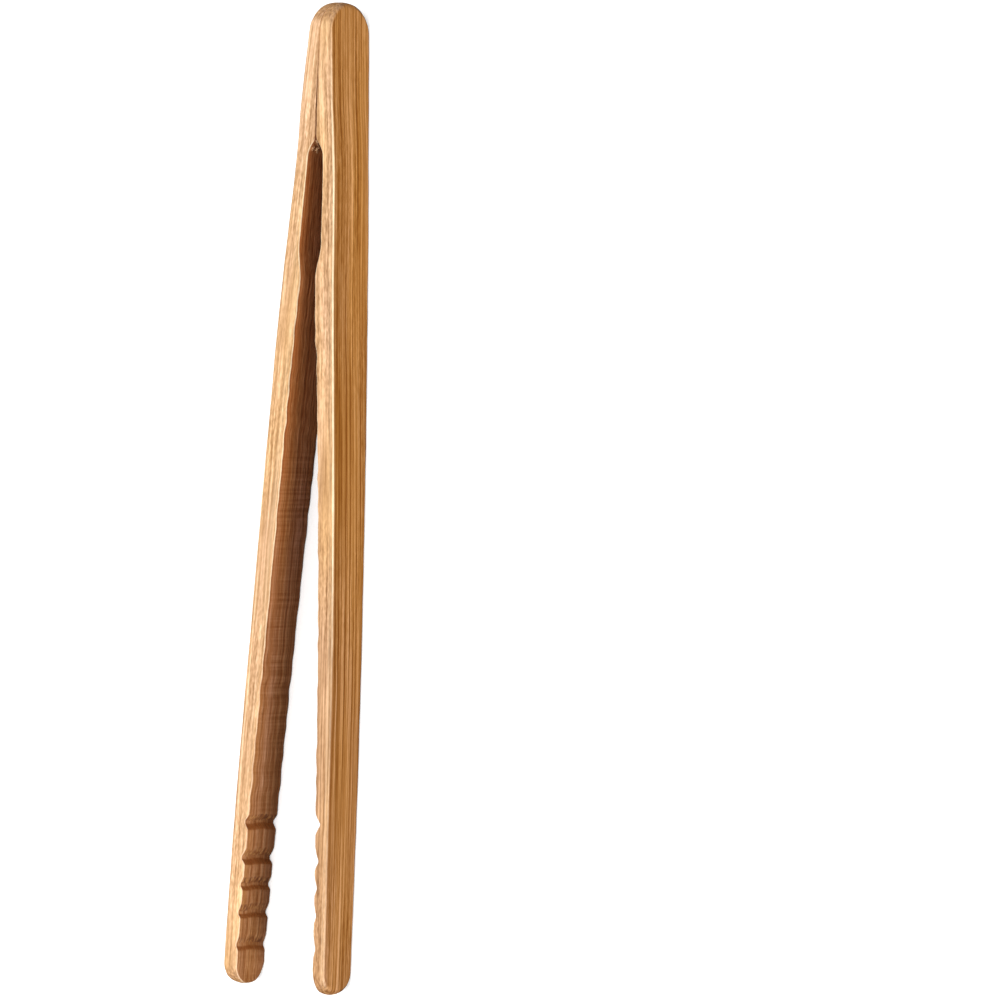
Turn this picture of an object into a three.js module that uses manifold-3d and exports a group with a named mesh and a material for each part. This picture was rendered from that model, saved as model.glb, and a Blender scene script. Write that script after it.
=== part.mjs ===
import * as THREE from 'three';
import { mergeVertices } from 'three/addons/utils/BufferGeometryUtils.js';
import Module from 'manifold-3d';

// Bamboo tongs: two strips glued face to face at one end, and sprung apart at the other.
// They lie on their edges. X is the way the arms open, +Y is the joined end, +Z is up.
// A station is a distance along the tongs from the joined end. All sizes are in millimetres.

const LENGTH = 300;

// The outer faces bow apart along one cubic curve, given by the distance of its four evenly
// spaced control points from the middle plane, from the joined end to the tips.
const OUTER_BOW = [3.8, 11.85, 17.95, 19.95];

// The joined end.
const GLUE_THICKNESS = 0.25;
const GLUE_END = 40.7;
const HEAD_EASE = 2.2;

// The throat opens as a narrow slit and then as a pointed arch.
const SLIT_END = 42.3;
const SLIT_HALF = 0.46;
const ARCH_BEND = { station: 45.2, half: 2.9 };
const ARCH_END = 47.5;

// Each strip is thinned on its inner face so that it bends there.
const SPRING_THICKNESS = { start: 4.5, end: 5.1 };
const SHOULDER_START = 73;
const SHOULDER_END = 85;

// Past the shoulder each blade thins steadily to its tip. The strips are finished by hand and
// differ a little: in thickness, in a swell behind the shoulder, in where and how deep the
// grooves were cut, and in how far the tip was trimmed.
const STRIPS = {
  left: { heel: 7.1, tip: 5.2, swell: 0, grooveShift: 1.1, grooveWidth: 0.72, tipTrim: 0.7 },
  right: { heel: 6.8, tip: 4.4, swell: 0.5, grooveShift: 0, grooveWidth: 1, tipTrim: 0 },
};
const THINNING_POWER = 1.4;
const SWELL_FADE = { start: 101, end: 111 };

// Grooves across the inner face: how deep each one is on either strip, and how far it reaches
// towards the head and towards the tip.
const GROOVES = [
  { station: 248.7, depth: { left: 1.25, right: 1.75 }, headward: 3.3, tipward: 3.3 },
  { station: 259.6, depth: { left: 1.4, right: 1.35 }, headward: 4.4, tipward: 2.9 },
  { station: 267.8, depth: { left: 0.95, right: 0.9 }, headward: 3.6, tipward: 2.4 },
  { station: 276.3, depth: { left: 0.95, right: 0.8 }, headward: 4.3, tipward: 2.4 },
  { station: 286.1, depth: { left: 0.75, right: 0.65 }, headward: 4.4, tipward: 2.6 },
];
const GROOVE_FLOOR = 0.9;
// How far a groove's walls bulge: 0.5 would leave them straight.
const GROOVE_BULGE = 0.3;
const TIP_EASE = { outer: 2.4, inner: 1.5 };

// The lower edges lie flat. The upper edge falls from the head to the tip, by station and height.
const HEAD_HEIGHT = 18.4;
const TIP_HEIGHT = 13.2;
const UPPER_EDGE = [
  [HEAD_HEIGHT / 2, HEAD_HEIGHT],
  [30, 18.1],
  [50, 17.1],
  [92, 17.0],
  [150, 15.5],
  [195, 14.5],
  [245, 14.0],
  [293, TIP_HEIGHT],
];

// Where each strip is divided into head, spring and blade.
const SPRING_START = 46;
const SPRING_END = 76;

// Squeezed-out glue lies along the slit, short of both edges.
const BEAD_INSET = 0.8;
const BEAD_NOSE = 0.9;

const STATION_STEP = 5;
const FINE_STEP = 1.5;
const CURVE_SEGMENTS = 8;
const OVERSIZE = 10;

const BAMBOO = { color: 0xb98347, roughness: 0.55, metalness: 0 };
const BAMBOO_SPRING = { color: 0xa06a36, roughness: 0.55, metalness: 0 };
const GLUE = { color: 0x5a3417, roughness: 0.35, metalness: 0 };

const wasm = await Module();
wasm.setup();

function lengthwise(station) {
  return LENGTH / 2 - station;
}

function outerFace(station) {
  const t = station / LENGTH;
  const u = 1 - t;
  const [a, b, c, d] = OUTER_BOW;
  return u ** 3 * a + 3 * u * u * t * b + 3 * u * t * t * c + t ** 3 * d;
}

function stripEnd(side) {
  return LENGTH - STRIPS[side].tipTrim;
}

function thickness(station, side) {
  const { heel, tip, swell } = STRIPS[side];
  const alongSpring = THREE.MathUtils.clamp((station - ARCH_END) / (SHOULDER_START - ARCH_END), 0, 1);
  const spring = THREE.MathUtils.lerp(SPRING_THICKNESS.start, SPRING_THICKNESS.end, alongSpring);
  const alongBlade = THREE.MathUtils.clamp((station - SHOULDER_END) / (LENGTH - SHOULDER_END), 0, 1);
  const thinned = (heel - tip) * alongBlade ** THINNING_POWER;
  const swellLeft = 1 - THREE.MathUtils.smoothstep(station, SWELL_FADE.start, SWELL_FADE.end);
  const blade = heel - thinned + swell * swellLeft;
  const shoulder = THREE.MathUtils.smoothstep(station, SHOULDER_START, SHOULDER_END);
  return THREE.MathUtils.lerp(spring, blade, shoulder);
}

function innerFace(station, side) {
  return outerFace(station) - thickness(station, side);
}

// Draws on a shape in half widths and stations, mirrored to the left side when asked.
function sidePen(shape, side) {
  const mirror = side === 'left' ? -1 : 1;
  return {
    move: (half, station) => shape.moveTo(mirror * half, lengthwise(station)),
    line: (half, station) => shape.lineTo(mirror * half, lengthwise(station)),
    bend: (halfBy, stationBy, half, station) =>
      shape.quadraticCurveTo(mirror * halfBy, lengthwise(stationBy), mirror * half, lengthwise(station)),
  };
}

function drawOuterFace(pen, side) {
  pen.line(outerFace(0) - HEAD_EASE, 0);
  pen.bend(outerFace(0), 0, outerFace(HEAD_EASE), HEAD_EASE);
  const easeStart = stripEnd(side) - TIP_EASE.outer;
  for (let s = STATION_STEP; s < easeStart; s += STATION_STEP) {
    pen.line(outerFace(s), s);
  }
  pen.line(outerFace(easeStart), easeStart);
}

function drawTip(pen, side) {
  const end = stripEnd(side);
  pen.bend(outerFace(end), end, outerFace(end) - TIP_EASE.outer, end);
  pen.line(innerFace(end, side) + TIP_EASE.inner, end);
  pen.bend(innerFace(end, side), end, innerFace(end - TIP_EASE.inner, side), end - TIP_EASE.inner);
}

// Drawn from the tip towards the head: a wall, a short floor, and a slope back up.
function drawGroove(pen, groove, side) {
  const { grooveShift, grooveWidth } = STRIPS[side];
  const station = groove.station + grooveShift;
  const depth = groove.depth[side];
  const floor = innerFace(station, side) + depth;
  const wall = station + groove.tipward * grooveWidth;
  const wallFoot = station + GROOVE_FLOOR / 2;
  const slopeFoot = station - GROOVE_FLOOR / 2;
  const slope = station - groove.headward * grooveWidth;
  const bulge = depth * GROOVE_BULGE;
  const wallTop = innerFace(wall, side);
  const slopeTop = innerFace(slope, side);
  pen.line(wallTop, wall);
  pen.bend(wallTop + bulge, (wall + wallFoot) / 2, floor, wallFoot);
  pen.line(floor, slopeFoot);
  pen.bend(slopeTop + bulge, (slope + slopeFoot) / 2, slopeTop, slope);
}

function drawBladeAndSpring(pen, side) {
  for (let s = GROOVES[0].station - STATION_STEP; s > SWELL_FADE.end; s -= STATION_STEP) {
    pen.line(innerFace(s, side), s);
  }
  for (let s = SWELL_FADE.end; s > SHOULDER_START; s -= FINE_STEP) {
    pen.line(innerFace(s, side), s);
  }
  for (let s = SHOULDER_START; s > ARCH_END; s -= STATION_STEP) {
    pen.line(innerFace(s, side), s);
  }
}

function drawThroat(pen, side) {
  pen.line(innerFace(ARCH_END, side), ARCH_END);
  pen.bend(ARCH_BEND.half, ARCH_BEND.station, SLIT_HALF, SLIT_END);
  pen.line(GLUE_THICKNESS / 2, GLUE_END);
}

function stripOutline(side) {
  const shape = new THREE.Shape();
  const pen = sidePen(shape, side);
  pen.move(GLUE_THICKNESS / 2, 0);
  drawOuterFace(pen, side);
  drawTip(pen, side);
  for (const groove of [...GROOVES].reverse()) {
    drawGroove(pen, groove, side);
  }
  drawBladeAndSpring(pen, side);
  drawThroat(pen, side);
  return shape;
}

function glueFilmOutline() {
  const shape = new THREE.Shape();
  const half = GLUE_THICKNESS / 2;
  shape.moveTo(-half, lengthwise(0));
  shape.lineTo(half, lengthwise(0));
  shape.lineTo(half, lengthwise(GLUE_END));
  shape.lineTo(-half, lengthwise(GLUE_END));
  return shape;
}

function glueBeadOutline() {
  const shape = new THREE.Shape();
  shape.moveTo(-GLUE_THICKNESS / 2, lengthwise(GLUE_END));
  shape.lineTo(GLUE_THICKNESS / 2, lengthwise(GLUE_END));
  shape.lineTo(SLIT_HALF, lengthwise(SLIT_END));
  const nose = lengthwise(SLIT_END + BEAD_NOSE);
  shape.bezierCurveTo(SLIT_HALF, nose, -SLIT_HALF, nose, -SLIT_HALF, lengthwise(SLIT_END));
  return shape;
}

// Seen from the side: a flat lower edge, a falling upper edge, and a half round at each end.
function profileOutline(end) {
  const headRadius = HEAD_HEIGHT / 2;
  const tipRadius = TIP_HEIGHT / 2;
  const shape = new THREE.Shape();
  shape.moveTo(lengthwise(headRadius), 0);
  shape.absarc(lengthwise(headRadius), headRadius, headRadius, -Math.PI / 2, Math.PI / 2, false);
  const upper = UPPER_EDGE.map(([station, height]) => new THREE.Vector2(lengthwise(station), height));
  shape.splineThru(upper.slice(1));
  shape.absarc(lengthwise(end - tipRadius), tipRadius, tipRadius, Math.PI / 2, 1.5 * Math.PI, false);
  return shape;
}

function solidFrom(geometry) {
  geometry.deleteAttribute('normal');
  geometry.deleteAttribute('uv');
  const merged = mergeVertices(geometry);
  return new wasm.Manifold(
    new wasm.Mesh({
      numProp: 3,
      vertProperties: merged.attributes.position.array,
      triVerts: new Uint32Array(merged.index.array),
    }),
  );
}

function uprightSolid(shape, bottom, top) {
  const settings = { depth: top - bottom, bevelEnabled: false, curveSegments: CURVE_SEGMENTS };
  const geometry = new THREE.ExtrudeGeometry(shape, settings);
  geometry.translate(0, 0, bottom);
  return solidFrom(geometry);
}

function profileSolid(end) {
  const across = 2 * (outerFace(LENGTH) + OVERSIZE);
  const settings = { depth: across, bevelEnabled: false, curveSegments: CURVE_SEGMENTS };
  const geometry = new THREE.ExtrudeGeometry(profileOutline(end), settings);
  geometry.translate(0, 0, -across / 2);
  const along = new THREE.Vector3(0, 1, 0);
  const up = new THREE.Vector3(0, 0, 1);
  const acrossAxis = new THREE.Vector3(1, 0, 0);
  geometry.applyMatrix4(new THREE.Matrix4().makeBasis(along, up, acrossAxis));
  return solidFrom(geometry);
}

function stretchSolid(from, to) {
  const geometry = new THREE.BoxGeometry(
    2 * (outerFace(LENGTH) + OVERSIZE),
    to - from,
    2 * (HEAD_HEIGHT + OVERSIZE),
  );
  geometry.translate(0, lengthwise((from + to) / 2), 0);
  return solidFrom(geometry);
}

function meshFrom(name, solid, look) {
  const { vertProperties, triVerts } = solid.getMesh();
  const geometry = new THREE.BufferGeometry();
  geometry.setAttribute('position', new THREE.BufferAttribute(new Float32Array(vertProperties), 3));
  geometry.setIndex(new THREE.BufferAttribute(new Uint32Array(triVerts), 1));
  geometry.computeVertexNormals();
  const mesh = new THREE.Mesh(geometry, new THREE.MeshStandardMaterial(look));
  mesh.name = name;
  return mesh;
}

function stripMeshes(side) {
  const block = uprightSolid(stripOutline(side), -OVERSIZE, HEAD_HEIGHT + OVERSIZE);
  const strip = block.intersect(profileSolid(stripEnd(side)));
  const stretches = [
    ['head', -OVERSIZE, SPRING_START, BAMBOO],
    ['spring', SPRING_START, SPRING_END, BAMBOO_SPRING],
    ['blade', SPRING_END, LENGTH + OVERSIZE, BAMBOO],
  ];
  return stretches.map(([name, from, to, look]) =>
    meshFrom(`${side}_${name}`, strip.intersect(stretchSolid(from, to)), look),
  );
}

function glueMeshes() {
  const sheet = uprightSolid(glueFilmOutline(), -OVERSIZE, HEAD_HEIGHT + OVERSIZE);
  const film = sheet.intersect(profileSolid(LENGTH));
  const upperEdgeAtSlit = UPPER_EDGE[2][1];
  const bead = uprightSolid(glueBeadOutline(), BEAD_INSET, upperEdgeAtSlit - BEAD_INSET);
  return [meshFrom('glue_line', film, GLUE), meshFrom('glue_bead', bead, GLUE)];
}

const tongs = new THREE.Group();
tongs.add(...stripMeshes('left'));
tongs.add(...stripMeshes('right'));
tongs.add(...glueMeshes());

export default tongs;
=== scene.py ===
import math

import bmesh
import bpy
import numpy as np
from mathutils import Matrix, Vector
from mathutils.bvhtree import BVHTree


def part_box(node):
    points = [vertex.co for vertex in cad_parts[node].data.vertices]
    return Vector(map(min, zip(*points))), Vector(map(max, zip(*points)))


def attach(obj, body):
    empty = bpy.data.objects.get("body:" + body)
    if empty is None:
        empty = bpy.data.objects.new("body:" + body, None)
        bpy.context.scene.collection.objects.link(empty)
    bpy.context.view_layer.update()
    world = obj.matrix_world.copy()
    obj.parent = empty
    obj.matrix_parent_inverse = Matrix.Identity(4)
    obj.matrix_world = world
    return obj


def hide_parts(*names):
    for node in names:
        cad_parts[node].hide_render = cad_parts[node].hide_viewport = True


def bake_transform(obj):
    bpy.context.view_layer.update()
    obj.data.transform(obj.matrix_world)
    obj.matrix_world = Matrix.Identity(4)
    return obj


# Bamboo tongs, lying on their lower edges: two strips glued face to face at the head (+Y) and
# sprung apart at the tips. Lengths are in metres unless a name ends in _MM. A station is a
# distance along the tongs from the head end, in millimetres.

MM = 0.001
SIDES = {"left": -1.0, "right": 1.0}

# Glue is darker in the slit between the strips, which ends at the throat: partly dark glue,
# partly painted shade of the narrow slit. Its line turns pale towards the head.
SLIT_END_Y = 0.1086
SLIT_DARKENS_OVER = 0.0016
SEAM_FADES_FROM_Y = 0.118
SEAM_FADED_Y = 0.140

# Eased corners of a strip.
OUTER_CORNER_MM = 0.62
OUTER_CORNER_ENDS_MM = 1.5
INNER_CORNER_MM = 0.38
GLUED_CORNER_MM = 0.08
OPEN_SEAM_CORNER_MM = 0.22

# Stations where something changes.
GLUE_END_MM = 40.7
THROAT_END_MM = 46.0
GROOVES_START_MM = 243.0
GROOVES_END_MM = 290.0
SCALLOPS_START_MM = 88.0
SAW_MARKS_START_MM = 128.0
# Where the pale corner line, partly wear and partly a painted highlight, fades towards the tip.
WORN_AND_HIGHLIT_LINE_FADES_MM = (165.0, 215.0)

# Mesh spacing along a strip, and the spacing at which the CAD strips are sampled.
COARSE_STEP_MM = 0.62
FINE_STEP_MM = 0.26
SAMPLE_STEP_MM = 0.125

# How many samples either side the sampled curves are averaged over.
INNER_SMOOTHING = 2
OUTER_SMOOTHING = 6
UPPER_EDGE_SMOOTHING = 24

# How far the rim of the glue film is eased, and how far it stays back from the strips' edges.
FILM_RIM = 0.06 * MM
FILM_RECESS = 0.03 * MM

# Rows of vertices across each kind of surface.
OUTER_ROWS = 8
OUTER_CORNER_ROWS = 6
EDGE_ROWS = 7
INNER_CORNER_ROWS = 4
INNER_ROWS = 18
ARC_POINTS = 30

# The view: tilted from straight above towards +X, and rolled a little.
VIEW_TILT = math.radians(38.0)
VIEW_ROLL = math.radians(3.53)
VIEW_WIDTH = 0.3025
VIEW_SIDE_OFFSET = 0.0510
LENS_MM = 300.0
SENSOR_MM = 36.0

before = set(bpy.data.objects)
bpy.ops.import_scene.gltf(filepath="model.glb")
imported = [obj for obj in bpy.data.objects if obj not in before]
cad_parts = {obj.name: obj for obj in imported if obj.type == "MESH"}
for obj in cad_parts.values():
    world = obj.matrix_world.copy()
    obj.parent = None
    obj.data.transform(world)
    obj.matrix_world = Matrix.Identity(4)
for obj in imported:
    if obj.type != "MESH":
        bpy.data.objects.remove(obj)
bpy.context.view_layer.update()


# ---------------------------------------------------------------- sampling the CAD strips

def side_tree(side):
    """A ray-cast tree over the three CAD nodes of one strip."""
    points = []
    faces = []
    for part in ("head", "spring", "blade"):
        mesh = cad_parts[f"{side}_{part}"].data
        base = len(points)
        points += [vertex.co.copy() for vertex in mesh.vertices]
        faces += [[base + i for i in face.vertices] for face in mesh.polygons]
    return BVHTree.FromPolygons(points, faces)


def ray_hit(tree, origin, direction):
    hit = tree.ray_cast(Vector(origin), Vector(direction))[0]
    if hit is None:
        raise RuntimeError(f"no CAD surface from {origin} along {direction}")
    return hit


def smoothed(values, width):
    """A running average with a rounded window, which keeps both ends in place."""
    window = np.hanning(2 * width + 3)[1:-1]
    padded = np.concatenate([
        2 * values[0] - values[width:0:-1],
        values,
        2 * values[-1] - values[-2:-width - 2:-1],
    ])
    return np.convolve(padded, window / window.sum(), mode="valid")


class StripShape:
    """One CAD strip as curves over y: its outer and inner faces, as distances from x = 0, and
    the height of its upper edge. Its two ends are half round."""

    FAR = 0.05
    LOW_LEVEL = 0.005

    def __init__(self, side):
        self.side = side
        self.sign = SIDES[side]
        self.tree = side_tree(side)
        self.head_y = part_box(f"{side}_head")[1].y
        self.tip_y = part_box(f"{side}_blade")[0].y
        self.head_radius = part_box(f"{side}_head")[1].z / 2
        self.tip_radius = self.LOW_LEVEL
        self.settle_tip_radius()
        count = int((self.head_y - self.tip_y) / (SAMPLE_STEP_MM * MM))
        self.ys = np.linspace(self.tip_y + 1e-6, self.head_y - 1e-6, count)
        faces = np.array([self.faces_at(y, self.middle_height(y)) for y in self.ys])
        self.inner = smoothed(faces[:, 0], INNER_SMOOTHING)
        self.outer = smoothed(faces[:, 1], OUTER_SMOOTHING)
        tops = np.array([self.top_at(y) for y in self.ys])
        self.tops = smoothed(tops, UPPER_EDGE_SMOOTHING)

    def faces_at(self, y, z):
        inner = ray_hit(self.tree, (0, y, z), (self.sign, 0, 0)).x
        outer = ray_hit(self.tree, (self.sign * self.FAR, y, z), (-self.sign, 0, 0)).x
        return inner * self.sign, outer * self.sign

    def middle_height(self, y):
        share = (y - self.tip_y) / (self.head_y - self.tip_y)
        return self.tip_radius + (self.head_radius - self.tip_radius) * share

    def top_at(self, y):
        x = sum(self.faces_at(y, self.middle_height(y))) / 2 * self.sign
        return ray_hit(self.tree, (x, y, self.FAR), (0, 0, -1)).z

    def settle_tip_radius(self):
        """The tip is a half round as high as the strip where it begins. How high that is depends
        on the radius, so the radius is found in steps."""
        for _ in range(12):
            self.tip_radius = self.top_at(self.tip_y + self.tip_radius) / 2

    def outer_at(self, y):
        return np.interp(y, self.ys, self.outer)

    def inner_at(self, y):
        return np.interp(y, self.ys, self.inner)

    def height_at(self, y):
        return np.interp(y, self.ys, self.tops)

    def edge_line_at(self, y):
        """The height of the upper edge as if its two ends weren't rounded."""
        first = self.tip_y + self.tip_radius
        last = self.head_y - self.head_radius
        return self.height_at(np.clip(y, first, last))

    def station(self, y):
        """Millimetres from the head end."""
        return (self.head_y - y) / MM


# ---------------------------------------------------------------- small irregularities

def wander(positions, seed, wavelengths, amplitude):
    """A smooth wandering line: waves with drawn phases, which add up to about the amplitude."""
    draws = np.random.default_rng(seed)
    total = np.zeros_like(positions)
    for wavelength in wavelengths:
        stretch = draws.uniform(0.85, 1.15)
        phase = draws.uniform(0, 2 * math.pi)
        total += np.sin(2 * math.pi * positions / (wavelength * stretch) + phase)
    return total * amplitude / math.sqrt(len(wavelengths))


def ramp(value, start, end):
    """0 before start, 1 after end, and smooth between them."""
    share = np.clip((value - start) / (end - start), 0, 1)
    return share * share * (3 - 2 * share)


# ---------------------------------------------------------------- plates

class Loop:
    """The closed outline of a plate in the YZ plane. Each point has a target on the plate's
    middle line, so that the two flat faces are made of rows between outline and middle line."""

    def __init__(self, points, targets, target_index):
        self.points = np.array(points)
        self.targets = np.array(targets)
        self.target_index = np.array(target_index)
        offset = self.targets[self.target_index] - self.points
        self.depth = np.linalg.norm(offset, axis=1)
        self.inward = offset / self.depth[:, None]

    def inset(self, distance):
        """The outline's points moved inwards, as arrays of y and z."""
        moved = self.points + self.inward * np.asarray(distance)[:, None]
        return moved[:, 0], moved[:, 1]


def strip_stations(shape):
    """The y of each station between the centres of the two half-round ends, head first."""
    start = shape.head_radius / MM
    end = shape.station(shape.tip_y + shape.tip_radius)
    stations = [start]
    while stations[-1] < end:
        s = stations[-1]
        fine = GLUE_END_MM - 1 < s < THROAT_END_MM + 3 or s > GROOVES_START_MM
        stations.append(s + (FINE_STEP_MM if fine else COARSE_STEP_MM))
    stretched = start + (np.array(stations) - start) * (end - start) / (stations[-1] - start)
    return shape.head_y - stretched * MM


def arc_points(centre_y, radius, start_angle):
    """Points on half a circle, without its two ends. Angle 0 is +Y and 90 is up."""
    angles = start_angle + np.pi * (np.arange(ARC_POINTS) + 1) / (ARC_POINTS + 1)
    return [
        (centre_y + radius * math.cos(a), radius + radius * math.sin(a)) for a in angles
    ]


def plate_loop(shape, ys, far_end, recess=0.0):
    """The outline with straight lower and curved upper edges at those ys, the given points at its
    far end, and a half round at the head. The recess is how far it stays inside the strip."""
    tops = shape.height_at(ys)
    upper = list(zip(ys, tops - recess))
    lower = [(y, recess) for y in ys[::-1]]
    radius = shape.head_radius - recess
    head = [(y, z + recess) for y, z in arc_points(ys[0], radius, -math.pi / 2)]
    targets = list(zip(ys, tops / 2))
    forwards = list(range(len(ys)))
    index = forwards + forwards[-1:] * len(far_end) + forwards[::-1] + [0] * len(head)
    return Loop(upper + far_end + lower + head, targets, index)


def strip_loop(shape):
    ys = strip_stations(shape)
    return plate_loop(shape, ys, arc_points(ys[-1], shape.tip_radius, math.pi / 2))


def plate_mesh(name, loop, rows, first_x, last_x):
    """A closed mesh: rows of (y, z, x) arrays from one flat face round the rim to the other,
    closed by the middle line, at first_x on the first face and last_x on the last."""
    n = len(loop.points)
    middle = len(loop.targets)
    first = np.column_stack([first_x, loop.targets[:, 0], loop.targets[:, 1]])
    last = np.column_stack([last_x, loop.targets[:, 0], loop.targets[:, 1]])
    body = [np.column_stack([x, y, z]) for y, z, x in rows]
    points = np.vstack([first, *body, last])
    around = np.arange(n)
    indices = [loop.target_index]
    indices += [middle + row * n + around for row in range(len(rows))]
    indices += [middle + len(rows) * n + loop.target_index]
    faces = []
    for near, far in zip(indices, indices[1:]):
        for i in range(n):
            j = (i + 1) % n
            corners = [near[i], near[j], far[j], far[i]]
            face = [int(c) for k, c in enumerate(corners) if c not in corners[:k]]
            faces.append(face)
    mesh = bpy.data.meshes.new(name)
    mesh.from_pydata(points.tolist(), [], faces)
    turn_outwards(mesh)
    return mesh


def turn_outwards(mesh):
    work = bmesh.new()
    work.from_mesh(mesh)
    bmesh.ops.recalc_face_normals(work, faces=work.faces)
    work.to_mesh(mesh)
    work.free()
    mesh.shade_smooth()


def add_object(mesh):
    obj = bpy.data.objects.new(mesh.name, mesh)
    bpy.context.scene.collection.objects.link(obj)
    return obj


def set_vectors(mesh, name, *columns):
    """Stores up to three numbers per vertex as one vector. A missing number is 0."""
    vectors = np.zeros((len(mesh.vertices), 3), dtype=np.float32)
    vectors[:, :len(columns)] = np.column_stack(columns)
    data = mesh.attributes.new(name, "FLOAT_VECTOR", "POINT").data
    data.foreach_set("vector", vectors.ravel())


# ---------------------------------------------------------------- strips

class StripBuilder:
    """Makes one strip as a single mesh, from its outer face round both edges to its inner face."""

    def __init__(self, side, seed, worn_and_highlit):
        self.worn_and_highlit = worn_and_highlit
        self.shape = StripShape(side)
        self.loop = strip_loop(self.shape)
        self.seed = seed
        self.rows = []
        self.masks = []

    def outer_x(self, y):
        """The outer face, dressed by hand: it dips inwards a little, and never outwards."""
        station = self.shape.station(y)
        dip = 0.035 + wander(station, self.seed, (23, 41, 67), 0.03)
        return self.shape.outer_at(y) - np.clip(dip, 0, None) * MM

    def inner_x(self, y, z):
        """The inner face, with the shallow scallops and skewed grooves that handwork leaves."""
        station = self.shape.station(y)
        in_grooves = ramp(station, GROOVES_START_MM, GROOVES_START_MM + 3)
        in_grooves = in_grooves * (1 - ramp(station, GROOVES_END_MM, GROOVES_END_MM + 3))
        skew = wander(z / MM, self.seed + 5, (9, 17), 0.2) * in_grooves
        chatter = wander(station + 3 * z / MM, self.seed + 6, (1.3, 2.1), 0.025)
        on_blade = ramp(station, THROAT_END_MM + 2, THROAT_END_MM + 12)
        scallop = wander(station, self.seed + 7, (7.5, 8.5, 11, 19), 0.12)
        scallop = scallop * ramp(station, SCALLOPS_START_MM - 25, SCALLOPS_START_MM)
        lift = (chatter + scallop * (1 - 0.8 * in_grooves)) * on_blade
        return self.shape.inner_at(y + skew * MM) + lift * MM

    def outer_corner(self, y, thickness):
        station = self.shape.station(y)
        at_head = 1 - ramp(station, 0, self.shape.head_radius / MM)
        tip_station = self.shape.station(self.shape.tip_y)
        at_tip = ramp(station, tip_station - self.shape.tip_radius / MM, tip_station)
        ends = np.maximum(at_head, at_tip)
        plain = OUTER_CORNER_MM + wander(station, self.seed + 1, (13, 31, 57), 0.07)
        uneven = wander(station, self.seed + 8, (1.9, 3.1), 0.16) * ends
        radius = plain + (OUTER_CORNER_ENDS_MM - plain) * ends + uneven
        return np.minimum(radius * MM, thickness * 0.45)

    def inner_corner(self, y, thickness):
        station = self.shape.station(y)
        free = ramp(station, GLUE_END_MM - 0.5, THROAT_END_MM)
        plain = INNER_CORNER_MM + wander(station, self.seed + 2, (5, 9, 23), 0.07)
        seam_opens = ramp(station, 16, 34)
        seam = GLUED_CORNER_MM + (OPEN_SEAM_CORNER_MM - GLUED_CORNER_MM) * seam_opens
        seam = seam + wander(station, self.seed + 9, (2.7, 6.5, 15), 0.05) * (0.3 + seam_opens)
        radius = seam + (plain - seam) * free
        return np.minimum(radius * MM, thickness * 0.3)

    def add_row(self, inset, x_of, edge, inner, wear=0, stain_and_shade=0):
        y, z = self.loop.inset(inset)
        self.rows.append((y, z, self.shape.sign * x_of(y, z)))
        ones = np.ones_like(y)
        self.masks.append([mask * ones for mask in (edge, inner, wear, stain_and_shade)])

    def add_outer_face(self, radius):
        for row in range(1, OUTER_ROWS):
            share = row / OUTER_ROWS
            inset = radius + (self.loop.depth - radius) * (1 - share)
            self.add_row(inset, lambda y, z: self.outer_x(y), 0, 0)

    def add_outer_corner(self, radius):
        """Rubbed pale along the upper edge, partly real wear and partly a painted highlight, with a
        faint band of painted shade beside it on the outer face, and painted shade along the lower
        edge and low ends."""
        station = self.shape.station(self.loop.points[:, 0])
        upper = self.on_upper_edge()
        # The pale line along the upper edge: partly wear, partly a painted highlight.
        worn_and_highlit = upper * ramp(station, 0, 60)
        worn_and_highlit = worn_and_highlit * (1 - 0.6 * ramp(station, *WORN_AND_HIGHLIT_LINE_FADES_MM)) * self.worn_and_highlit
        worn_and_highlit = worn_and_highlit * (1 + wander(station, self.seed + 10, (4, 9, 21), 0.12))
        # Painted shade along the lower edge and on the low ends.
        darkened = np.maximum(0.6 * ramp(-self.facing()[0], 0.3, 0.9), self.low_ends())
        for row in range(OUTER_CORNER_ROWS):
            angle = row / (OUTER_CORNER_ROWS - 1) * math.pi / 2
            inset = radius * (1 - math.sin(angle))
            drop = radius * (1 - math.cos(angle))
            edge = float(ramp(angle, 0.2, 0.9))
            wear = float(ramp(angle, 0.35, 0.8)) * (1 - float(ramp(angle, 1.1, 1.6)))
            # A faint band of painted shade beside the painted highlight.
            shade_beside_highlight = 0.4 * (1 - float(ramp(angle, 0.1, 0.5)))
            self.add_row(
                inset, lambda y, z: self.outer_x(y) - drop, edge, 0, wear * worn_and_highlit,
                np.maximum(math.sin(2 * angle) * darkened, shade_beside_highlight * upper),
            )

    def facing(self):
        """How far each point of the outline faces up, and how far it faces either end."""
        return -self.loop.inward[:, 1], np.abs(self.loop.inward[:, 0])

    def on_upper_edge(self):
        """1 along the upper edge, 0 on the lower edge, and fading round the ends."""
        return ramp(self.facing()[0], 0.6, 0.97)

    def low_ends(self):
        """1 on the lower halves of the two round ends, where shade is painted."""
        upwards, endwards = self.facing()
        return 0.85 * ramp(endwards, 0.25, 0.8) * ramp(-upwards, -0.2, 0.5)

    def add_edge_face(self, outer_radius, inner_radius):
        """Rubbed pale beside one corner of the upper edge, partly real wear and partly a painted
        highlight: the outer corner where the strip's pale line is strong, and otherwise the inner
        one.
        Painted shade on the low ends."""
        flat = np.zeros_like(outer_radius)
        # Painted shade on the low ends.
        darkened = 0.35 * self.low_ends()
        station = self.shape.station(self.loop.points[:, 0])
        free = self.on_upper_edge() * ramp(station, THROAT_END_MM, THROAT_END_MM + 20)
        broader = 0.2 + 0.45 * ramp(station, *WORN_AND_HIGHLIT_LINE_FADES_MM)
        for row in range(1, EDGE_ROWS):
            share = row / EDGE_ROWS
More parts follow.
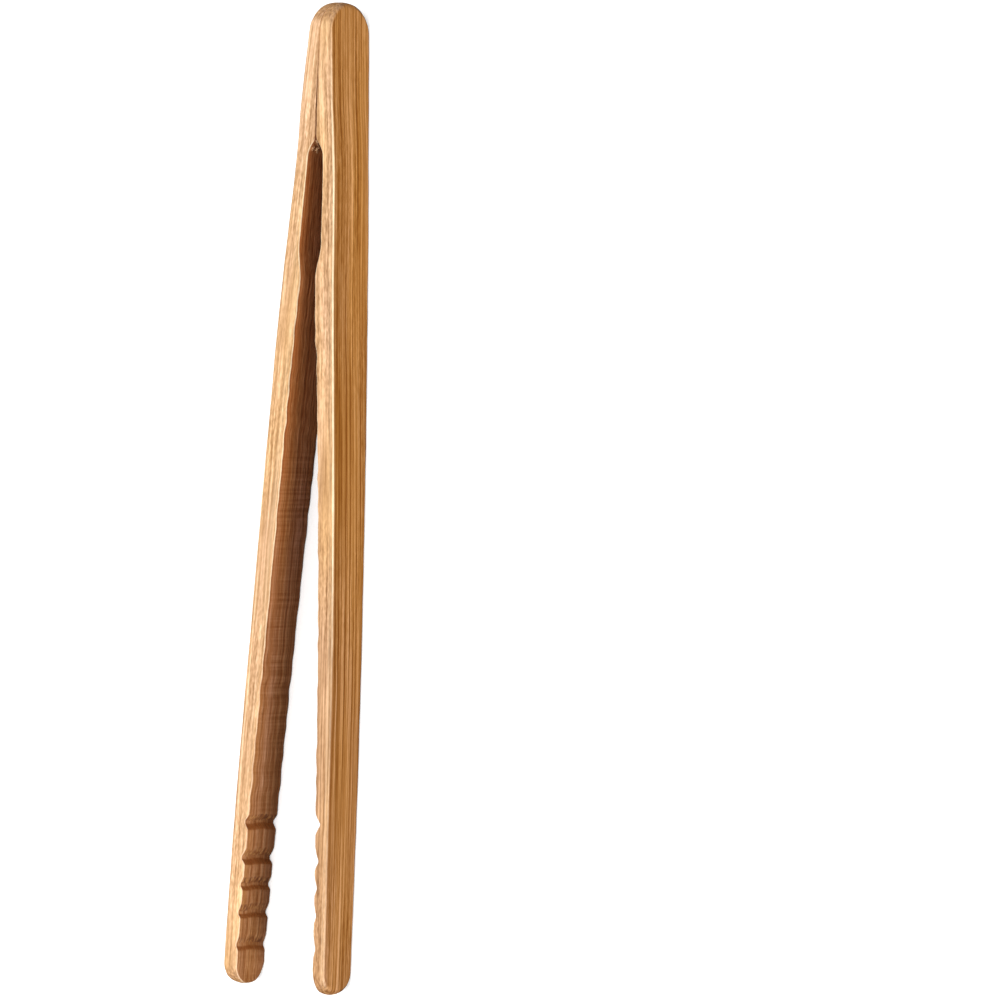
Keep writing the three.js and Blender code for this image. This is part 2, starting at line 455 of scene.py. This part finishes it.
            # Pale beside a corner: partly wear, partly a painted highlight.
            by_inner = 0.23 * float(ramp(share, 0.5, 1)) * (1 - self.worn_and_highlit)
            by_outer = broader * float(ramp(1 - share, 0.7, 1)) * self.worn_and_highlit
            wear = (by_inner + by_outer) * free

            def across(y, z):
                start = self.outer_x(y) - outer_radius
                end = self.inner_x(y, z) + inner_radius
                return start + (end - start) * share

            self.add_row(flat, across, 1, 0, wear, darkened)

    def add_inner_corner(self, radius):
        """Rubbed pale where it is free, partly real wear and partly a painted highlight; stained by
        the glue where it is joined; painted shade on the low ends.
        """
        station = self.shape.station(self.loop.points[:, 0])
        joined = 1 - ramp(station, GLUE_END_MM + 0.5, GLUE_END_MM + 3)
        darkened = joined * ramp(station, 10, 28)
        for row in range(INNER_CORNER_ROWS):
            angle = row / (INNER_CORNER_ROWS - 1) * math.pi / 2
            inset = radius * (1 - math.cos(angle))
            rise = radius * (1 - math.sin(angle))
            inner = row / (INNER_CORNER_ROWS - 1)
            # The free inner corner is pale: partly wear, partly a painted highlight.
            wear = 0.8 * math.sin(2 * angle) * (1 - joined)
            # Glue stain where joined, and painted shade on the low ends.
            self.add_row(
                inset, lambda y, z: self.inner_x(y, z) + rise, 1 - inner, inner, wear,
                np.maximum(min(1.0, 1.6 * inner) * darkened, 0.7 * inner * self.low_ends()),
            )

    def add_inner_face(self, radius):
        for row in range(1, INNER_ROWS):
            share = row / INNER_ROWS
            inset = radius + (self.loop.depth - radius) * share
            self.add_row(inset, self.inner_x, 0, 1)

    def build(self):
        y = self.loop.points[:, 0]
        z = self.loop.points[:, 1]
        thickness = self.outer_x(y) - self.inner_x(y, z)
        outer_radius = self.outer_corner(y, thickness)
        inner_radius = self.inner_corner(y, thickness)
        self.add_outer_face(outer_radius)
        self.add_outer_corner(outer_radius)
        self.add_edge_face(outer_radius, inner_radius)
        self.add_inner_corner(inner_radius)
        self.add_inner_face(inner_radius)
        middle_y, middle_z = self.loop.targets.T
        sign = self.shape.sign
        name = f"{self.shape.side}_strip"
        mesh = plate_mesh(
            name, self.loop, self.rows,
            sign * self.outer_x(middle_y),
            sign * self.inner_x(middle_y, middle_z),
        )
        self.add_attributes(mesh)
        return add_object(mesh)

    def add_attributes(self, mesh):
        """Where each point lies in the bamboo, in millimetres, and what kind of surface it is on:
        edge or inner face; rubbed pale, partly with a painted highlight; stained by glue in some
        places and painted with shade in others; how the fibres are cut there, and the walls facing
        the head, where shade is painted."""
        co = np.empty(len(mesh.vertices) * 3)
        mesh.vertices.foreach_get("co", co)
        x, y, z = co.reshape(-1, 3).T
        depth = (self.shape.outer_at(y) - np.abs(x)) / MM
        below_edge = (self.shape.edge_line_at(y) - z) / MM
        set_vectors(mesh, "grain", depth, self.shape.station(y), below_edge)
        normals = np.empty(len(mesh.vertices) * 3)
        mesh.vertex_normals.foreach_get("vector", normals)
        towards_head = normals.reshape(-1, 3)[:, 1]
        cut_across = ramp(np.abs(towards_head), 0.15, 0.6)
        middle = len(self.loop.targets)
        none = np.zeros(middle)
        edge, inner, wear, stain_and_shade = [
            np.concatenate([none, *[masks[kind] for masks in self.masks], none])
            for kind in range(4)
        ]
        inner[-middle:] = 1
        # Painted shade goes on the inner faces that face the head: the groove walls.
        faces_head = inner * ramp(towards_head, 0.12, 0.45)
        lip = inner * ramp(-towards_head, 0.2, 0.36)
        set_vectors(mesh, "surface", edge, inner)
        set_vectors(mesh, "marks", wear, stain_and_shade)
        set_vectors(mesh, "cuts_and_wall_shade", cut_across, faces_head, lip)


# ---------------------------------------------------------------- materials

class Graph:
    """Builds a material's nodes by short calls. An input is another node's output or a value."""

    def __init__(self, name):
        self.material = bpy.data.materials.new(name)
        self.material.use_nodes = True
        self.tree = self.material.node_tree
        self.shader = self.tree.nodes["Principled BSDF"]

    def put(self, socket, value):
        if isinstance(value, bpy.types.NodeSocket):
            self.tree.links.new(value, socket)
        else:
            socket.default_value = value

    def node(self, kind, *inputs, **settings):
        made = self.tree.nodes.new(kind)
        for name, value in settings.items():
            setattr(made, name, value)
        for socket, value in zip(made.inputs, inputs):
            self.put(socket, value)
        return made

    def attribute(self, name, output):
        return self.node("ShaderNodeAttribute", attribute_name=name).outputs[output]

    def parts(self, vector):
        return self.node("ShaderNodeSeparateXYZ", vector).outputs

    def vector(self, x, y, z):
        return self.node("ShaderNodeCombineXYZ", x, y, z).outputs[0]

    def math(self, operation, a, b=0.0):
        return self.node("ShaderNodeMath", a, b, operation=operation).outputs[0]

    def add(self, a, b):
        return self.math("ADD", a, b)

    def times(self, a, b):
        return self.math("MULTIPLY", a, b)

    def spread(self, value, low, high, to_low=0.0, to_high=1.0):
        """Maps low..high to to_low..to_high, and holds it there outside."""
        return self.node("ShaderNodeMapRange", value, low, high, to_low, to_high).outputs[0]

    def noise(self, vector, detail):
        """Noise about 0.5, with one wave per unit of the vector."""
        made = self.node("ShaderNodeTexNoise")
        self.put(made.inputs["Vector"], vector)
        made.inputs["Scale"].default_value = 1.0
        made.inputs["Detail"].default_value = detail
        made.inputs["Roughness"].default_value = 0.5
        return made.outputs[0]

    def mix(self, share, a, b, blend="MIX"):
        made = self.node("ShaderNodeMix", data_type="RGBA", blend_type=blend)
        self.put(made.inputs[0], share)
        self.put(made.inputs[6], a)
        self.put(made.inputs[7], b)
        return made.outputs[2]

    def bump(self, height, distance):
        made = self.node("ShaderNodeBump")
        self.put(made.inputs["Height"], height)
        made.inputs["Distance"].default_value = distance
        made.inputs["Strength"].default_value = 1.0
        return made.outputs[0]

    def finish(self, colour, roughness, normal):
        """Connects the shader and gives the material."""
        self.put(self.shader.inputs["Base Color"], colour)
        self.put(self.shader.inputs["Roughness"], roughness)
        self.put(self.shader.inputs["Normal"], normal)
        return self.material


def tone(red, green, blue):
    """A colour from 0-255 display values, as the linear colour that a shader takes."""
    linear = [
        v / 12.92 if v <= 0.04045 else ((v + 0.055) / 1.055) ** 2.4
        for v in (red / 255, green / 255, blue / 255)
    ]
    return (*linear, 1.0)


class Bamboo(Graph):
    """Heat-browned bamboo. The grain attribute holds depth from the outer face, station and
    distance below the upper edge, all in millimetres, so every streak runs along its own strip.
    Streaks are added up as shades, in steps of a 0-255 display value."""

    SHADE_RANGE = 50.0

    # What covers the plain bamboo, some of it painted light and shade. Of a pair, the second colour
    # is for the tip.
    # Painted light: golden patches along the upper edge of the inner face.
    LIT_GOLD = (tone(160, 86, 32), tone(182, 124, 66))
    # Cream on the corners: partly wear, partly a painted highlight.
    WORN_AND_HIGHLIT = (tone(250, 234, 196), tone(248, 216, 180))
    FIBRE_ENDS = tone(214, 160, 100)
    BETWEEN_FIBRE_ENDS = tone(128, 74, 34)
    # Painted shade on the groove walls that face the head.
    GROOVE_WALL_SHADE = tone(136, 72, 22)
    TORN_FIBRES = tone(88, 46, 24)
    # Glue stain, and painted shade on the lower edges and low ends.
    STAIN_AND_SHADE = tone(92, 44, 12)

    def __init__(self, name, offset, looks):
        super().__init__(name)
        self.offset = offset
        self.looks = looks
        self.grain = self.attribute("grain", "Vector")
        self.depth, self.station, self.below_edge = self.parts(self.grain)
        self.edge, self.inner = self.parts(self.attribute("surface", "Vector"))[:2]
        self.wear, self.stain_and_shade = self.parts(self.attribute("marks", "Vector"))[:2]
        self.across, self.faces_head, self.lip = self.parts(self.attribute("cuts_and_wall_shade", "Vector"))
        self.fibres = self.wavy_grain()

    def scaled(self, space, across, along, shift=0.0):
        """A noise space with that many waves per millimetre across and along the fibres. The
        shift picks another place in the noise."""
        offset = tuple(v + shift for v in self.offset)
        return self.node(
            "ShaderNodeVectorMath", space, (across, along, across), offset,
            operation="MULTIPLY_ADD",
        ).outputs[0]

    def unit_noise(self, space, detail=1.0):
        """Noise about 0, with a spread of about 1."""
        return self.times(self.math("SUBTRACT", self.noise(space, detail), 0.5), 8.0)

    def wavy_grain(self):
        """The grain space with fibres that drift a little sideways on their way."""
        drift = self.times(self.unit_noise(self.scaled(self.grain, 0.14, 0.06), 0.0), 0.04)
        sideways = self.vector(drift, 0.0, drift)
        return self.node("ShaderNodeVectorMath", self.grain, sideways, operation="ADD").outputs[0]

    def layer(self, across, along, detail=1.0):
        """Streaks along the fibres, as noise with its own place for each pair of scales."""
        space = self.scaled(self.fibres, across, along, 100.0 * across + 37.0 * along)
        return self.unit_noise(space, detail)

    def weighted(self, layer, outer, edge, inner):
        """The layer, times a weight that differs on outer faces, edges and inner faces."""
        weight = self.spread(self.inner, 0.0, 1.0, outer, inner)
        weight = self.spread(self.edge, 0.0, 1.0, weight, edge)
        return self.times(layer, weight)

    def near(self, value, level, width):
        """1 where the value is at that level, falling to 0 at width from it."""
        distance = self.math("ABSOLUTE", self.math("SUBTRACT", value, level))
        return self.spread(distance, 0.0, width, 1.0, 0.0)

    def vessel_lines(self):
        """Thin pale and dark lines, where a broad noise passes two of its levels."""
        broad = self.layer(0.42, 0.0025, 0.0)
        pale = self.weighted(self.near(broad, 0.25, 0.3), 24.0, 12.0, 8.0)
        dark = self.weighted(self.near(broad, 1.0, 0.3), -28.0, -14.0, -10.0)
        return self.add(pale, dark)

    def accent_line(self):
        """One long dark line on the outer face, with a pale one beside it."""
        wobble = self.times(self.layer(0.02, 0.035), 0.12)
        place = self.add(self.below_edge, wobble)
        dark = self.times(self.near(place, self.looks["accent"], 0.42), -42.0)
        pale = self.times(self.near(place, self.looks["accent"] + 0.62, 0.36), 26.0)
        start = self.looks["accent_start"]
        shown = self.spread(self.station, start, start + 10.0)
        return self.weighted(self.times(self.add(dark, pale), shown), 1.0, 0.0, 0.0)

    def saw_marks(self):
        """Fine parallel marks across the inner face of the blade, stronger in patches."""
        slant = self.add(self.station, self.times(self.below_edge, 0.04))
        space = self.vector(self.times(self.below_edge, 0.03), slant, 0.0)
        marks = self.unit_noise(self.scaled(space, 1.0, 1.1, 5.0))
        patches = self.noise(self.scaled(self.grain, 0.2, 0.05, 9.0), 1.0)
        share = self.spread(patches, 0.35, 0.6, 3.0, 9.0)
        start = SAW_MARKS_START_MM
        share = self.times(share, self.spread(self.station, start, start + 18.0))
        end = GROOVES_START_MM
        share = self.times(share, self.spread(self.station, end - 8.0, end + 8.0, 1.0, 0.4))
        return self.weighted(self.times(marks, share), 0.0, 0.0, 1.0)

    def shades(self):
        """All streaks and marks added up. The three weights of each are for outer faces, edges
        and inner faces. Flecks and specks are fainter in calm patches."""
        lines = self.layer(1.3, 0.012)
        patches = self.noise(self.scaled(self.grain, 0.08, 0.02, 81.0), 0.0)
        calm = self.spread(patches, 0.4, 0.6, 0.45, 1.15)
        flecks = self.times(self.layer(1.5, 0.2), calm)
        specks = self.times(self.layer(1.8, 0.6), calm)
        self.relief = self.add(lines, self.times(flecks, 0.6))
        parts = [
            self.weighted(lines, 19.0, 10.0, 10.0),
            self.weighted(self.layer(1.45, 0.05), 4.0, 15.0, 2.0),
            self.weighted(self.layer(0.5, 0.007), 6.0, 4.0, 5.5),
            self.weighted(self.layer(0.17, 0.004, 0.0), 5.0, 4.0, 3.5),
            self.weighted(flecks, 6.0, 8.0, 6.0),
            self.weighted(specks, 3.0, 10.0, 3.0),
            self.vessel_lines(),
            self.accent_line(),
            # Painted shade: a darker band on the outer face just below the upper edge, beside the
            # painted highlight.
            self.weighted(self.near(self.below_edge, 1.0, 1.5), -13.0, 0.0, 0.0),
            self.saw_marks(),
        ]
        total = parts[0]
        for part in parts[1:]:
            total = self.add(total, part)
        return total

    def shaded(self, shade, base):
        """The base display colour, made darker or lighter by the shade."""
        made = self.node("ShaderNodeValToRGB")
        reach = self.SHADE_RANGE
        self.put(made.inputs[0], self.spread(shade, -reach, reach))
        elements = made.color_ramp.elements
        steps = 5
        while len(elements) < steps:
            elements.new(0.5)
        for number, element in enumerate(elements):
            share = number / (steps - 1)
            element.position = share
            step = (2 * share - 1) * reach
            element.color = tone(*[min(250, max(6, v + step)) for v in base])
        return made.outputs[0]

    def hue_patches(self, colour):
        """Drifts between an orange and a pinkish cast along the strip."""
        drift = self.noise(self.scaled(self.grain, 0.13, 0.014, 51.0), 1.0)
        orange = self.mix(1.0, colour, (1.02, 0.97, 0.84, 1.0), "MULTIPLY")
        pinkish = self.mix(1.0, colour, (1.0, 0.99, 1.13, 1.0), "MULTIPLY")
        return self.mix(self.spread(drift, 0.36, 0.64), orange, pinkish)

    def gap_light_and_shade(self, colour):
        """Painted light and shade on the inner face: golden in patches along its upper edge, partly
        painted light where light reaches into the gap, and darker lower down, painted shade.
        """
        near_edge = self.spread(self.below_edge, 1.2, 5.0, 0.5, 0.0)
        patches = self.noise(self.scaled(self.grain, 0.3, 0.05, 23.0), 1.0)
        share = self.times(near_edge, self.spread(patches, 0.38, 0.6, 0.2, 1.0))
        towards_tip = self.spread(self.station, 140.0, 220.0)
        lit_gold = self.mix(towards_tip, *self.LIT_GOLD)
        colour = self.mix(share, colour, lit_gold)
        # Painted shade lower down on the inner face of the blade.
        gap_shade = self.mix(1.0, colour, (0.84, 0.82, 0.94, 1.0), "MULTIPLY")
        share = self.times(
            self.spread(self.below_edge, 4.0, 12.0), self.spread(self.station, 110.0, 150.0)
        )
        return self.mix(share, colour, gap_shade)

    def tinted(self, colour, tip_tint):
        """Multiplies the colour by a tint that grows towards the tip."""
        share = self.spread(self.station, 20.0, 290.0)
        return self.mix(share, colour, self.mix(1.0, colour, (*tip_tint, 1.0), "MULTIPLY"))

    def end_grain(self):
        """The cut ends of the fibre bundles: pale dots in darker tissue."""
        cells = self.node("ShaderNodeTexVoronoi", feature="F1")
        space = self.vector(self.depth, self.times(self.station, 0.35), self.below_edge)
        self.put(cells.inputs["Vector"], space)
        cells.inputs["Scale"].default_value = 1.3
        return self.spread(cells.outputs["Distance"], 0.15, 0.6)

    def lip_marks(self):
        """Dark fibre ends, torn where a groove's wall breaks from the face."""
        torn = self.noise(self.scaled(self.grain, 1.1, 0.12, 61.0), 1.0)
        patches = self.noise(self.scaled(self.grain, 0.1, 0.09, 71.0), 0.0)
        share = self.times(self.spread(torn, 0.42, 0.6), self.spread(patches, 0.42, 0.58, 0.1, 0.7))
        inside = self.spread(self.station, GROOVES_END_MM, GROOVES_END_MM + 1.0, 1.0, 0.0)
        return self.times(self.times(self.lip, inside), share)

    def surface_colour(self, shade, surface):
        """The colour of outer faces, edges or inner faces, before anything covers it."""
        return self.tinted(
            self.shaded(shade, self.looks[surface]), self.looks[f"{surface}_tip_tint"]
        )

    def plain(self):
        """Clean bamboo, with each kind of surface in its own colour. The inner face's colour is
        partly painted shade of the gap, with painted light and shade on top.
        """
        shade = self.shades()
        outer = self.surface_colour(shade, "outer")
        edge = self.surface_colour(shade, "edge")
        inner = self.gap_light_and_shade(self.surface_colour(shade, "inner"))
        colour = self.mix(self.edge, self.mix(self.inner, outer, inner), edge)
        return self.hue_patches(colour)

    def cut_and_wall_shade(self, colour):
        """Dots where the fibres are cut across, painted shade on the groove walls that face the
        head, and dark torn lips in the grooves.
        """
        dots = self.mix(self.end_grain(), self.FIBRE_ENDS, self.BETWEEN_FIBRE_ENDS)
        colour = self.mix(self.times(self.across, 0.45), colour, dots)
        # Painted shade on the groove walls that face the head.
        colour = self.mix(self.times(self.faces_head, 0.75), colour, self.GROOVE_WALL_SHADE)
        return self.mix(self.lip_marks(), colour, self.TORN_FIBRES)

    def used(self, colour):
        """Stained by glue and painted with shade at the lower edges and ends, and rubbed pale at
        the corners, partly real wear and partly a painted highlight.
        """
        uneven = self.spread(self.relief, -2.0, 2.0, 0.6, 1.0)
        # Glue stain, and painted shade on the lower edges and low ends.
        colour = self.mix(self.times(self.stain_and_shade, uneven), colour, self.STAIN_AND_SHADE)
        towards_tip = self.spread(self.station, 150.0, 215.0)
        cream = self.mix(towards_tip, *self.WORN_AND_HIGHLIT)
        # Pale corners: partly wear, partly a painted highlight.
        return self.mix(self.times(self.wear, uneven), colour, cream)

    def build(self):
        colour = self.used(self.cut_and_wall_shade(self.plain()))
        roughness = self.spread(self.relief, -2.5, 2.5, 0.6, 0.42)
        roughness = self.math("MAXIMUM", roughness, self.times(self.stain_and_shade, 0.95))
        self.shader.inputs["Specular IOR Level"].default_value = 0.35
        return self.finish(colour, roughness, self.bump(self.relief, 0.025 * MM))


class Glue(Graph):
    """Dried glue: amber clouded with paler wood dust in the throat, darker in the slit, partly dark
    glue and partly painted shade, and as pale as the bamboo near the head, where the film is
    thinnest."""

    # Darker in the slit: partly dark glue, partly painted shade of the narrow slit.
    SLIT_SHADE = tone(76, 38, 16)
    NEAR_HEAD = tone(214, 164, 112)

    def __init__(self, name, clear, dusty, roughness):
        super().__init__(name)
        self.clear = clear
        self.dusty = dusty
        self.roughness = roughness

    def build(self):
        place = self.node("ShaderNodeTexCoord").outputs["Object"]
        in_mm = self.node(
            "ShaderNodeVectorMath", place, (1.1 / MM,) * 3, operation="MULTIPLY"
        ).outputs[0]
        clouds = self.noise(in_mm, 2.0)
        colour = self.mix(self.spread(clouds, 0.42, 0.62), self.clear, self.dusty)
        y = self.parts(place)[1]
        # Painted shade in the slit.
        slit_shade = self.spread(y, SLIT_END_Y - SLIT_DARKENS_OVER, SLIT_END_Y)
        colour = self.mix(slit_shade, colour, self.SLIT_SHADE)
        near_head = self.spread(y, SEAM_FADES_FROM_Y, SEAM_FADED_Y)
        colour = self.mix(near_head, colour, self.NEAR_HEAD)
        roughness = self.spread(clouds, 0.4, 0.6, self.roughness, self.roughness + 0.25)
        roughness = self.math("MAXIMUM", roughness, self.times(slit_shade, 0.8))
        return self.finish(colour, roughness, self.bump(clouds, 0.08 * MM))


# ---------------------------------------------------------------- camera, lights, floor

def add_camera():
    out = Vector((math.sin(VIEW_TILT), 0, math.cos(VIEW_TILT)))
    level = Vector((math.cos(VIEW_TILT), 0, -math.sin(VIEW_TILT)))
    along = Vector((0, 1, 0))
    right = level * math.cos(VIEW_ROLL) + along * math.sin(VIEW_ROLL)
    up = along * math.cos(VIEW_ROLL) - level * math.sin(VIEW_ROLL)
    data = bpy.data.cameras.new("camera")
    data.lens = LENS_MM
    data.sensor_width = SENSOR_MM
    camera = bpy.data.objects.new("camera", data)
    bpy.context.scene.collection.objects.link(camera)
    distance = VIEW_WIDTH * LENS_MM / SENSOR_MM
    turn = Matrix((right, up, out)).transposed().to_4x4()
    camera.matrix_world = Matrix.Translation(right * VIEW_SIDE_OFFSET + out * distance) @ turn
    bpy.context.scene.camera = camera


# Soft lights, aimed at the middle of the tongs: location, size and power of each.
LIGHTS = {
    "overhead": ((0.10, -0.30, 1.2), 0.6, 4.5),
    "side": ((2.1, -0.9, 0.55), 0.9, 28.0),
    "fill": ((-1.2, 0.5, 0.8), 0.8, 4.0),
}


def add_area_light(name, location, size, power):
    data = bpy.data.lights.new(name, "AREA")
    data.shape = "DISK"
    data.size = size
    data.energy = power
    light = bpy.data.objects.new(name, data)
    light.location = location
    light.rotation_mode = "QUATERNION"
    light.rotation_quaternion = (-Vector(location)).to_track_quat("-Z", "Y")
    bpy.context.scene.collection.objects.link(light)


def add_world(above, below):
    """Even white light from above the horizon, and a dim one from below it."""
    world = bpy.data.worlds.new("studio")
    world.use_nodes = True
    nodes = world.node_tree.nodes
    link = world.node_tree.links.new
    direction = nodes.new("ShaderNodeSeparateXYZ")
    link(nodes.new("ShaderNodeTexCoord").outputs["Generated"], direction.inputs[0])
    strength = nodes.new("ShaderNodeMapRange")
    horizon = {"From Min": -0.02, "From Max": 0.02, "To Min": below, "To Max": above}
    for name, value in horizon.items():
        strength.inputs[name].default_value = value
    link(direction.outputs["Z"], strength.inputs["Value"])
    background = nodes["Background"]
    background.inputs["Color"].default_value = (1.0, 1.0, 1.0, 1.0)
    link(strength.outputs[0], background.inputs["Strength"])
    bpy.context.scene.world = world


def add_floor():
    """A pale floor just below the tongs, seen by the camera but not by the tongs."""
    half = 4.0
    level = -0.1 * MM
    outline = ((-half, -half), (half, -half), (half, half), (-half, half))
    corners = [(x, y, level) for x, y in outline]
    mesh = bpy.data.meshes.new("floor")
    mesh.from_pydata(corners, [], [(0, 1, 2, 3)])
    floor = add_object(mesh)
    material = bpy.data.materials.new("pale_floor")
    material.use_nodes = True
    shader = material.node_tree.nodes["Principled BSDF"]
    shader.inputs["Base Color"].default_value = (0.93, 0.93, 0.93, 1.0)
    shader.inputs["Roughness"].default_value = 0.9
    shader.inputs["Emission Color"].default_value = (1.0, 1.0, 1.0, 1.0)
    shader.inputs["Emission Strength"].default_value = 0.3
    mesh.materials.append(material)
    floor.visible_diffuse = False
    floor.visible_glossy = False


# ---------------------------------------------------------------- the object

# Colours are 0-255 display values, and tints multiply them. An accent is a line that many
# millimetres below the upper edge, starting at a station.
LOOKS = {
    # The inner colour is darker and redder than the outer, partly painted shade of the gap between
    # the strips. Its tip tint lightens it towards the tip, painted light where the gap widens.
    "left": {
        "outer": (187, 127, 60), "edge": (206, 163, 115), "inner": (152, 93, 49),
        "outer_tip_tint": (0.92, 0.99, 1.5), "edge_tip_tint": (1.0, 0.97, 0.9),
        "inner_tip_tint": (1.1, 1.3, 1.5), "worn_and_highlit": 0.12,
        "accent": 9.2, "accent_start": 58.0,
    },
    "right": {
        "outer": (187, 127, 60), "edge": (194, 152, 108), "inner": (152, 93, 49),
        "outer_tip_tint": (0.92, 0.99, 1.5), "edge_tip_tint": (0.82, 0.74, 0.6),
        "inner_tip_tint": (1.1, 1.3, 1.5), "worn_and_highlit": 1.0,
        "accent": 6.0, "accent_start": 74.0,
    },
}
SEEDS = {"left": 100, "right": 150, "film": 31, "bead": 77}


def place_strip(side):
    seed = SEEDS[side]
    # The share of the pale corner line: partly wear, partly a painted highlight.
    builder = StripBuilder(side, seed, LOOKS[side]["worn_and_highlit"])
    strip = builder.build()
    offset = (seed * 0.37, seed * 0.71, seed * 0.19)
    strip.data.materials.append(Bamboo(f"bamboo_{side}", offset, LOOKS[side]).build())
    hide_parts(f"{side}_head", f"{side}_spring", f"{side}_blade")
    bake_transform(strip)
    return builder.shape


def film_loop(shape):
    """The outline of the glue film: round at the head, and square where the slit begins."""
    start = shape.head_radius / MM
    ys = shape.head_y - np.arange(start, GLUE_END_MM, COARSE_STEP_MM) * MM
    end_y = shape.head_y - GLUE_END_MM * MM
    top = shape.height_at(ys[-1]) - FILM_RECESS
    end = [(end_y, z) for z in np.linspace(top, FILM_RECESS, ARC_POINTS)]
    return plate_loop(shape, ys, end, FILM_RECESS)


def place_glue_film(shape):
    """The film between the strips. It has shrunk back from their edges, more in some places."""
    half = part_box("glue_line")[1].x
    loop = film_loop(shape)
    station = shape.station(loop.points[:, 0])
    wavy = 0.05 + wander(station, SEEDS["film"], (1.7, 3.3, 8), 0.04)
    shrunk = wavy * ramp(station, 6, 20) * MM
    rows = []
    for x, inset in ((-half, FILM_RIM), (-half / 2, 0.0), (half / 2, 0.0), (half, FILM_RIM)):
        y, z = loop.inset(inset + np.clip(shrunk, 0, None))
        rows.append((y, z, np.full_like(y, x)))
    flat = np.full(len(loop.targets), half)
    film = add_object(plate_mesh("glue_film", loop, rows, -flat, flat))
    film.data.materials.append(
        Glue("glue_dark", tone(92, 46, 18), tone(136, 76, 34), 0.75).build()
    )
    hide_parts("glue_line")
    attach(film, "head")


# Radii of the blobs of glue, across, along and up, and each drop's station and depth below the
# highest glue, all in millimetres.
FILLET_RADII_MM = (0.36, 0.95, 0.75)
SMEAR_RADII_MM = (0.2, 0.5, 0.75)
DROP_RADII_MM = (0.3, 0.32, 0.34)
DROPS_MM = ((42.5, 0.15), (43.6, 1.7), (44.5, 0.3), (45.2, 2.4))


def bead_blobs(shape):
    """Centres and radii in millimetres: a fillet in the slit, then a smear and a few drops on
    the left wall of the arch, near the upper edge. Places are x, station and height."""
    draws = np.random.default_rng(SEEDS["bead"])
    low, high = (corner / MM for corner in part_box("glue_bead"))
    blobs = []
    for z in np.arange(low.z + 0.3, high.z - 0.2, 0.7):
        station = GLUE_END_MM + 0.75 + draws.uniform(-0.2, 0.35)
        blobs.append(((draws.uniform(-0.06, 0.06), station, z), FILLET_RADII_MM))
    steps = 16
    for step in range(steps):
        station = GLUE_END_MM + 1.4 + 3.6 * step / (steps - 1) + draws.uniform(-0.15, 0.15)
        z = high.z - 0.3 - draws.uniform(0.0, 1.0) - 2.2 * (step % 2)
        wall = shape.inner_at(shape.head_y - station * MM) / MM
        size = draws.uniform(0.7, 1.0)
        radii = tuple(radius * size for radius in SMEAR_RADII_MM)
        blobs.append(((-wall - 0.02, station, z), radii))
    for station, depth in DROPS_MM:
        wall = shape.inner_at(shape.head_y - station * MM) / MM
        blobs.append(((-wall + 0.06, station, high.z - depth), DROP_RADII_MM))
    return blobs


def place_glue_bead(shape):
    """Glue squeezed out at the apex. The blobs are merged into one skin."""
    work = bmesh.new()
    for (x, station, z), radii in bead_blobs(shape):
        place = Matrix.Translation((x * MM, shape.head_y - station * MM, z * MM))
        size = Matrix.Diagonal((*(radius * MM for radius in radii), 1.0))
        bmesh.ops.create_icosphere(work, subdivisions=3, radius=1.0, matrix=place @ size)
    blobs = bpy.data.meshes.new("glue_blobs")
    work.to_mesh(blobs)
    work.free()
    rough = add_object(blobs)
    merge = rough.modifiers.new("merge", "REMESH")
    merge.mode = "VOXEL"
    merge.voxel_size = 0.1 * MM
    relax = rough.modifiers.new("relax", "SMOOTH")
    relax.iterations = 4
    bpy.context.view_layer.update()
    mesh = bpy.data.meshes.new_from_object(
        rough.evaluated_get(bpy.context.evaluated_depsgraph_get())
    )
    bpy.data.objects.remove(rough)
    mesh.name = "glue_squeeze_out"
    mesh.shade_smooth()
    bead = add_object(mesh)
    mesh.materials.append(Glue("glue_amber", tone(122, 66, 26), tone(232, 190, 144), 0.42).build())
    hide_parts("glue_bead")
    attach(bead, "head")


bpy.context.scene.view_settings.view_transform = "Standard"
add_camera()
add_world(0.95, 0.05)
for light_name, (location, size, power) in LIGHTS.items():
    add_area_light(light_name, location, size, power)
add_floor()
shapes = {side: place_strip(side) for side in SIDES}
place_glue_film(shapes["left"])
place_glue_bead(shapes["left"])
